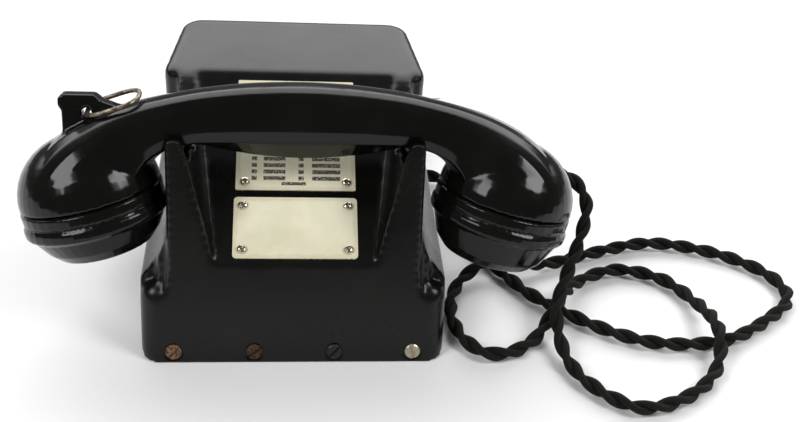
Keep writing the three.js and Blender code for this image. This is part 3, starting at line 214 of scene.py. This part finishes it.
def plain(name, colour, spot, size_mm, roughness, depth_mm):
    material, tree, surface, coords = new_material(name, Roughness=roughness)
    value = noise(tree, coords, size_mm, 3.0)
    tree.links.new(ramp(tree, value, (0.4, colour), (0.7, spot)), surface.inputs["Base Color"])
    bump(tree, surface, value, depth_mm)
    return material


# Moulded rubber is dull and even; waxed paper is dull with soft brown blotches.
rubber_finish = plain("soft_rubber", "#1b1b19", "#262622", 1.0, 0.75, 0.05)
paper_finish = plain("waxed_paper", "#7d6a48", "#5d4c30", 3.0, 0.6, 0.05)

# %% [markdown]
# ## The labels
# Both labels are thin metal plates with cream enamel that has yellowed, a little more along the edges and round
# the screws. The distance from the edge comes from the plate's own middle and size: a Mapping node turns the
# panel flat, and the smaller of two distances gives a frame-shaped stain.

# %% Label enamel
PANEL_TILT = radians(26.5)


def plate_middle(name):
    low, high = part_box(name)
    return (Vector(low) + Vector(high)) / 2


def plate_size(name):
    low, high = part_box(name)
    return high[0] - low[0], (high[1] - low[1]) / cos(PANEL_TILT)


def on_plate(tree, coords, name):
    middle = plate_middle(name)
    flat = Matrix.Rotation(-PANEL_TILT, 3, "X")
    shift = -(flat @ middle)
    inputs = {"Vector": coords, "Rotation": (-PANEL_TILT, 0, 0), "Location": shift}
    mapping = add(tree, "ShaderNodeMapping", inputs)
    return add(tree, "ShaderNodeSeparateXYZ", {"Vector": mapping.outputs["Vector"]}).outputs


def edge_distance(tree, place, name):
    width, height = plate_size(name)
    across = calc(tree, "SUBTRACT", width / 2, calc(tree, "ABSOLUTE", place["X"]))
    along = calc(tree, "SUBTRACT", height / 2, calc(tree, "ABSOLUTE", place["Y"]))
    return calc(tree, "MULTIPLY", calc(tree, "MINIMUM", across, along), 1 / MM)


def screw_distance(tree, place, plate):
    """How far a spot is from the nearest of the four screws, in units of ten millimetres."""
    off = Matrix.Rotation(-PANEL_TILT, 3, "X") @ (plate_middle(f"{plate}_screw_1") - plate_middle(plate))
    across = calc(tree, "SUBTRACT", calc(tree, "ABSOLUTE", place["X"]), abs(off.x))
    along = calc(tree, "SUBTRACT", calc(tree, "ABSOLUTE", place["Y"]), abs(off.y))
    squares = calc(tree, "MULTIPLY_ADD", across, across, calc(tree, "MULTIPLY", along, along))
    return calc(tree, "MULTIPLY", calc(tree, "SQRT", squares), 0.1 / MM)


def enamel(name, plate):
    material, tree, surface, coords = new_material(name, IOR=1.5)
    place = on_plate(tree, coords, plate)
    edge = edge_distance(tree, place, plate)
    wander = calc(tree, "MULTIPLY", noise(tree, coords, 5.0, 4.0, 0.65), 3.2)
    stain = calc(tree, "SUBTRACT", edge, wander)
    body = ramp(tree, noise(tree, coords, 14.0, 3.0), (0.35, "#f0ebd0"), (0.7, "#e4dfc0"))
    rim = ramp(tree, calc(tree, "MULTIPLY", stain, 0.25), (0.0, 0.16), (0.2, 0.0))
    colour = blend_colours(tree, rim, body, "#94794a")
    specks = ramp(tree, noise(tree, coords, 0.9, 2.0), (0.7, 0.0), (0.78, 0.55))
    colour = blend_colours(tree, specks, colour, "#a39877")
    near_screw = calc(tree, "MULTIPLY_ADD", wander, 0.35, screw_distance(tree, place, plate))
    grime = ramp(tree, near_screw, (0.22, 0.6), (0.42, 0.0))
    colour = blend_colours(tree, grime, colour, "#6f5a38")
    surface.inputs["Roughness"].default_value = 0.42
    bump(tree, surface, noise(tree, coords, 3.0, 3.0), 0.03)
    return material, tree, surface, place, colour


def name_plate_enamel():
    material, tree, surface, place, colour = enamel("cream_enamel_blank", "name_plate")
    tree.links.new(colour, surface.inputs["Base Color"])
    return material


# %% [markdown]
# The upper label is printed with a table. Short dark bars in rows stand for its words: a bar is where the row
# counter and the column counter are both inside their windows.

# %% Printed label
ROW_PITCH_MM = 3.4
ROW_START_MM = 38.7
ROWS_MM = (-24.9, 22.0)
COLUMNS_MM = ((-20.2, 2.4), (-14.8, 10.0), (1.2, 2.4), (7.4, 13.0))  # left edge and width
FOOT_WORD_MM = ((-6.5, 4.6), (-27.0, -25.3))


def inside(tree, value, low, high):
    above = calc(tree, "GREATER_THAN", value, low)
    return calc(tree, "MULTIPLY", above, calc(tree, "LESS_THAN", value, high))


def printed_enamel():
    material, tree, surface, place, colour = enamel("cream_enamel_printed", "spelling_plate")
    x = calc(tree, "MULTIPLY", place["X"], 1 / MM)
    y = calc(tree, "MULTIPLY", place["Y"], 1 / MM)
    row = calc(tree, "FRACT", calc(tree, "MULTIPLY", calc(tree, "ADD", y, ROW_START_MM), 1 / ROW_PITCH_MM))
    in_row = calc(tree, "MULTIPLY", inside(tree, row, 0.2, 0.8), inside(tree, y, *ROWS_MM))
    inks = []
    for start, width in COLUMNS_MM:
        inks.append(inside(tree, x, start, start + width))
    ink = inks[0]
    for other in inks[1:]:
        ink = calc(tree, "ADD", ink, other)
    ink = calc(tree, "MULTIPLY", ink, in_row)
    across, along = FOOT_WORD_MM
    foot_word = calc(tree, "MULTIPLY", inside(tree, x, *across), inside(tree, y, *along))
    ink = calc(tree, "ADD", ink, foot_word)
    spot = add(tree, "ShaderNodeCombineXYZ", {"X": x, "Y": y}).outputs[0]
    gaps = add(tree, "ShaderNodeTexNoise", {"Vector": spot, "Scale": 1.6, "Detail": 1.0}).outputs["Fac"]
    letters = ramp(tree, gaps, (0.38, 0.0), (0.42, 0.95))
    ink = calc(tree, "MULTIPLY", ink, letters)
    tree.links.new(blend_colours(tree, ink, colour, "#1a1916"), surface.inputs["Base Color"])
    return material


# %% [markdown]
# ## Giving each part its finish
# A part of the frame keeps its own mesh. It gets a material, and a few live modifiers give it the soft edges of
# a moulding or a turned piece. The big mouldings are remeshed to a fine even skin and relaxed, which rounds
# every corner as a mould does. The small pieces only get their corners joined and bevelled.


# %% Finishing helpers
def finish(name, material):
    part = NODES[name]
    part.data.materials.clear()
    part.data.materials.append(material)
    return part


def moulded(name, material, skin_mm, rounds):
    part = finish(name, material)
    remesh = part.modifiers.new("skin", "REMESH")
    remesh.mode = "VOXEL"
    remesh.voxel_size = skin_mm * MM
    remesh.use_smooth_shade = True
    relax = part.modifiers.new("relax", "SMOOTH")
    relax.factor = 0.5
    relax.iterations = rounds
    return part


def smooth_faces():
    """A tiny geometry graph that shades every face smooth, so the part's own mesh is left alone."""
    group = bpy.data.node_groups.new("smooth_faces", "GeometryNodeTree")
    group.interface.new_socket("Geometry", in_out="INPUT", socket_type="NodeSocketGeometry")
    group.interface.new_socket("Geometry", in_out="OUTPUT", socket_type="NodeSocketGeometry")
    shape = add(group, "NodeGroupInput").outputs["Geometry"]
    shade = add(group, "GeometryNodeSetShadeSmooth", {"Geometry": shape})
    add(group, "NodeGroupOutput", {"Geometry": shade.outputs["Geometry"]})
    return group


SMOOTH_FACES = smooth_faces()


def crisp(name, material, edge_mm=0.25):
    part = finish(name, material)
    part.modifiers.new("join", "WELD").merge_threshold = 0.00001
    part.modifiers.new("smooth", "NODES").node_group = SMOOTH_FACES
    bevel = part.modifiers.new("edge", "BEVEL")
    bevel.limit_method = "ANGLE"
    bevel.angle_limit = radians(32)
    bevel.width = edge_mm * MM
    bevel.segments = 2
    bevel.use_clamp_overlap = True
    part.modifiers.new("shade", "WEIGHTED_NORMAL").keep_sharp = True
    return part


# %% Finishes, part by part
moulded("housing_shell", cover_finish, 1.25, 6)
moulded("handset_body", handset_finish, 0.75, 5)
moulded("earpiece_cap", handset_finish, 0.55, 2)
moulded("mouthpiece_cap", handset_finish, 0.55, 2)
moulded("crank_knob", handset_finish, 0.5, 3)
crisp("name_plate", name_plate_enamel(), 0.15)
crisp("spelling_plate", printed_enamel(), 0.15)
for i, metal in enumerate((rusty_screw, brown_screw, black_screw, zinc_screw)):
    crisp(f"cover_screw_{i + 1}", metal)
crisp("hanging_ring", rusty_wire)

FINISHES = {
    steel_finish: ["wall_plate", "pinion", "crank_shaft", "gong_post_left", "gong_post_right", "ringer_yoke",
                   "ringer_clapper", "clapper_pin", "capacitor", "hook_bridge", "receiver_capsule",
                   "transmitter_capsule"],
    nickel_finish: ["crank_arm", "crank_knob_pin", "crank_cap_nut", "gong_left", "gong_right"],
    brass_finish: ["magneto_frame", "drive_gear", "crank_bush", "terminal_screw_1", "terminal_screw_2",
                   "terminal_screw_3"],
    magnet_finish: ["magnet_1", "magnet_2", "magnet_3", "armature"],
    copper_finish: ["ringer_coil_left", "ringer_coil_right"],
    paper_finish: ["induction_coil"],
    rubber_finish: ["cord_gland", "handset_cord_bush"],
    cover_finish: ["terminal_block"],
    brown_screw: ["rear_screw_1", "rear_screw_2"],
    black_screw: ["hook_pin_left", "hook_pin_right"],
}
for metal, names in FINISHES.items():
    for name in names:
        crisp(name, metal)
for plate in ("name_plate", "spelling_plate"):
    for i in range(4):
        crisp(f"{plate}_screw_{i + 1}", nickel_finish)

# %% [markdown]
# ## The cord
# The cord is two cotton-braided leads twisted round each other. It leaves a rubber gland in the cover's right
# side, wanders over the table in three loops and rises to the handset. The middle line is one smooth curve
# through chosen points, and each lead winds round it at half a turn from the other.

# %% Cord route
STRAND_R = 1.78 * MM
TWIST = 25.0 * MM
NESTLE = 0.93  # the leads press into each other a little
CORD_ROUTE = [
    (72.3, 55, 8), (80, 53.7, 6.8), (87, 48, 4.6), (90.7, 36, 3.8), (88.5, 9, 3.8), (107, -27, 3.8),
    (121, -45, 3.8), (165, -74, 3.8), (206, -74.5, 3.8), (238, -56, 3.8), (248, -46.5, 3.8),
    (250.3, -37.5, 3.8), (244.5, -24, 3.8), (222, -8, 3.8), (189, 0, 3.8), (154, -9, 3.8),
    (126, -19, 4.8), (104, -21.8, 10.8), (93, -23.6, 7.4), (83.5, -31, 4.4), (77.3, -43, 3.8),
    (75.6, -58, 3.8), (79.5, -72.5, 3.8), (87, -81, 3.8), (97, -82.8, 3.8), (113, -73.5, 3.8),
    (129, -52, 10.8), (143, -32.5, 4.6), (165, -22, 3.8), (187, -29, 3.8), (198.5, -46, 4.8),
    (201.5, -74, 11.2), (196, -94, 4.8), (177, -111, 3.8), (153, -117, 3.8), (132, -100, 3.8),
    (125.2, -83, 5.6), (123.6, -67, 13.5), (127, -56, 19), (137.1, -36.5, 30.3), (142.8, -22, 42.2),
    (141.7, -15, 47.4), (137.6, -9.3, 50.9), (131, -6.3, 53.2), (124.2, -6.3, 54.8),
    (119.3, -8.5, 55.7), (117.3, -10.1, 56), (115.9, -12, 56.3),
]


def centripetal(points, steps):
    """A Catmull-Rom curve through the points, whose knots stand apart by the root of each chord."""
    points = [Vector(p) * MM for p in points]
    ends = [points[0] * 2 - points[1], *points, points[-1] * 2 - points[-2]]
    line = []
    for i in range(1, len(ends) - 2):
        line += [pyramid(ends[i - 1:i + 3], step / steps) for step in range(steps)]
    return line + [points[-1]]


def pyramid(four, share):
    """The point at a share of the way from the second of four points to the third."""
    knots = [0.0]
    for a, b in zip(four, four[1:]):
        knots.append(knots[-1] + max((b - a).length, 1e-9) ** 0.5)
    t = knots[1] + (knots[2] - knots[1]) * share
    level = four
    for pairs in (((0, 1), (1, 2), (2, 3)), ((0, 2), (1, 3)), ((1, 2),)):
        shares = [(t - knots[a]) / (knots[b] - knots[a]) for a, b in pairs]
        level = [level[k].lerp(level[k + 1], part) for k, part in enumerate(shares)]
    return level[0]


def evenly(line, gap):
    """The same line with points a fixed distance apart."""
    spaced, left = [line[0]], gap
    for a, b in zip(line, line[1:]):
        run = (b - a).length
        while run >= left:
            a = a.lerp(b, left / run)
            spaced.append(a)
            run = (b - a).length
            left = gap
        left -= run
    return spaced + [line[-1]]


cord_line = evenly(centripetal(CORD_ROUTE, 24), 0.75 * MM)


# %% [markdown]
# A lead is swept along its helix: each step sets a ring of corners that faces along the line, and faces join it
# to the ring before. The braid follows the lead's own length and angle, kept as a UV map.


# %% Cord strands
# The real threads are about 0.8 mm wide. They are drawn twice as coarse, seven waves round a lead, to show.
BRAID_WAVES = 7


def strand_points(line, phase):
    """The helix round the line, on a cross direction that is carried along without twisting."""
    side = Vector((0, 0, 1)).cross(line[1] - line[0]).normalized()
    run, points = 0.0, []
    for i, at in enumerate(line):
        ahead = (line[min(i + 1, len(line) - 1)] - line[max(i - 1, 0)]).normalized()
        side = (side - ahead * side.dot(ahead)).normalized()
        angle = phase + 2 * pi * run / TWIST
        points.append(at + (side * cos(angle) + ahead.cross(side) * sin(angle)) * STRAND_R * NESTLE)
        run += (line[min(i + 1, len(line) - 1)] - at).length
    return points


def sweep(mesh, uv, line, radius, sides=9):
    side = Vector((0, 0, 1)).cross(line[1] - line[0]).normalized()
    rings, run, runs = [], 0.0, []
    for i, at in enumerate(line):
        ahead = (line[min(i + 1, len(line) - 1)] - line[max(i - 1, 0)]).normalized()
        side = (side - ahead * side.dot(ahead)).normalized()
        up = ahead.cross(side)
        ring = []
        for k in range(sides):
            angle = 2 * pi * k / sides
            ring.append(mesh.verts.new(at + (side * cos(angle) + up * sin(angle)) * radius))
        rings.append(ring)
        runs.append(run)
        run += (line[min(i + 1, len(line) - 1)] - at).length
    for i in range(len(rings) - 1):
        for k in range(sides):
            n = (k + 1) % sides
            face = mesh.faces.new((rings[i][k], rings[i][n], rings[i + 1][n], rings[i + 1][k]))
            face.smooth = True
            spots = ((k, i), (k + 1, i), (k + 1, i + 1), (k, i + 1))
            for loop, (turn, step) in zip(face.loops, spots):
                loop[uv].uv = (turn / sides, runs[step] / (2 * pi * radius))
    mesh.faces.new(list(reversed(rings[0])))
    mesh.faces.new(rings[-1])


def braid_finish():
    material, tree, surface, coords = new_material("braided_cotton", Roughness=0.85, IOR=1.3)
    surface.inputs["Sheen Weight"].default_value = 0.02
    on_lead = add(tree, "ShaderNodeTexCoord").outputs["UV"]
    place = add(tree, "ShaderNodeSeparateXYZ", {"Vector": on_lead}).outputs
    ways = [calc(tree, way, place["X"], place["Y"]) for way in ("ADD", "SUBTRACT")]
    one, two = [calc(tree, "SINE", calc(tree, "MULTIPLY", way, 2 * pi * BRAID_WAVES)) for way in ways]
    weave = calc(tree, "MAXIMUM", one, two)
    fuzz = noise(tree, coords, 0.6, 3.0)
    height = calc(tree, "MULTIPLY_ADD", fuzz, 0.8, weave)
    wear = noise(tree, coords, 30.0, 2.0)
    thread = ramp(tree, calc(tree, "MULTIPLY_ADD", weave, 0.25, fuzz), (0.25, "#060605"), (0.85, "#1b1913"))
    worn = blend_colours(tree, calc(tree, "MULTIPLY", wear, 0.4), thread, "#12110d")
    tree.links.new(worn, surface.inputs["Base Color"])
    bump(tree, surface, height, 0.14)
    return material


def make_cord():
    mesh = bmesh.new()
    uv = mesh.loops.layers.uv.new("braid")
    for phase in (0.0, pi):
        sweep(mesh, uv, strand_points(cord_line, phase), STRAND_R)
    data = bpy.data.meshes.new("twisted_cord")
    mesh.to_mesh(data)
    mesh.free()
    cord = bpy.data.objects.new("twisted_cord", data)
    scene.collection.objects.link(cord)
    data.materials.append(braid_finish())
    print("cord faces", len(data.polygons))
    return cord


cord = make_cord()
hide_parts("handset_cord")
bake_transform(cord)

# %% [markdown]
# ## Table and light
# The set lies on a pale sheet. Bakelite is a dark mirror, so the light is mostly what it reflects: a wide soft
# box behind and above for the top face, two window-shaped boxes for the handset, and a dim front.


# %% Floor
def make_floor():
    mesh = bmesh.new()
    place = Matrix.Translation((0.0, -0.08, -0.0002)) @ Matrix.Diagonal((1.7, 1.0, 1.0, 1.0))
    bmesh.ops.create_grid(mesh, x_segments=2, y_segments=2, size=0.5, matrix=place)
    data = bpy.data.meshes.new("table")
    mesh.to_mesh(data)
    mesh.free()
    floor = bpy.data.objects.new("table", data)
    scene.collection.objects.link(floor)
    material, tree, surface, coords = new_material("pale_sheet", Roughness=0.6)
    surface.inputs["Base Color"].default_value = linear("#eeeeee")
    data.materials.append(material)


make_floor()


# %% Lights
def softbox(name, at, to, width, height, power, colour="#ffffff"):
    data = bpy.data.lights.new(name, "AREA")
    data.shape = "RECTANGLE"
    data.size = width
    data.size_y = height
    data.energy = power
    data.color = linear(colour)[:3]
    lamp = bpy.data.objects.new(name, data)
    direction = Vector(to) - Vector(at)
    lamp.matrix_world = Matrix.Translation(at) @ direction.to_track_quat("-Z", "Y").to_matrix().to_4x4()
    scene.collection.objects.link(lamp)


softbox("left_window", (-0.8, -0.5, 0.95), (0, 0, 0.05), 0.5, 0.6, 8.0)
softbox("right_window", (0.8, -0.3, 0.85), (0, 0, 0.05), 0.4, 0.5, 6.5)


BACK_BOX_LIGHT = 3.1
ROOM_LIGHT = 0.16


def smooth(tree, value, start, end):
    inputs = {"Value": value, "From Min": start, "From Max": end}
    made = add(tree, "ShaderNodeMapRange", inputs, interpolation_type="SMOOTHSTEP")
    return made.outputs["Result"]


def make_world():
    world = bpy.data.worlds.new("studio")
    world.use_nodes = True
    scene.world = world
    tree = world.node_tree
    tree.nodes.clear()
    view = add(tree, "ShaderNodeTexCoord").outputs["Generated"]
    place = add(tree, "ShaderNodeSeparateXYZ", {"Vector": view}).outputs
    box = calc(tree, "MULTIPLY", smooth(tree, place["Y"], 0.25, 0.6), smooth(tree, place["Z"], 0.14, 0.36))
    box = calc(tree, "MULTIPLY", box, smooth(tree, place["Z"], 0.97, 0.78))
    light = calc(tree, "MULTIPLY_ADD", box, BACK_BOX_LIGHT, ROOM_LIGHT)
    back = add(tree, "ShaderNodeBackground", {"Color": light, "Strength": 1.0})
    add(tree, "ShaderNodeOutputWorld", {"Surface": back.outputs[0]})


make_world()

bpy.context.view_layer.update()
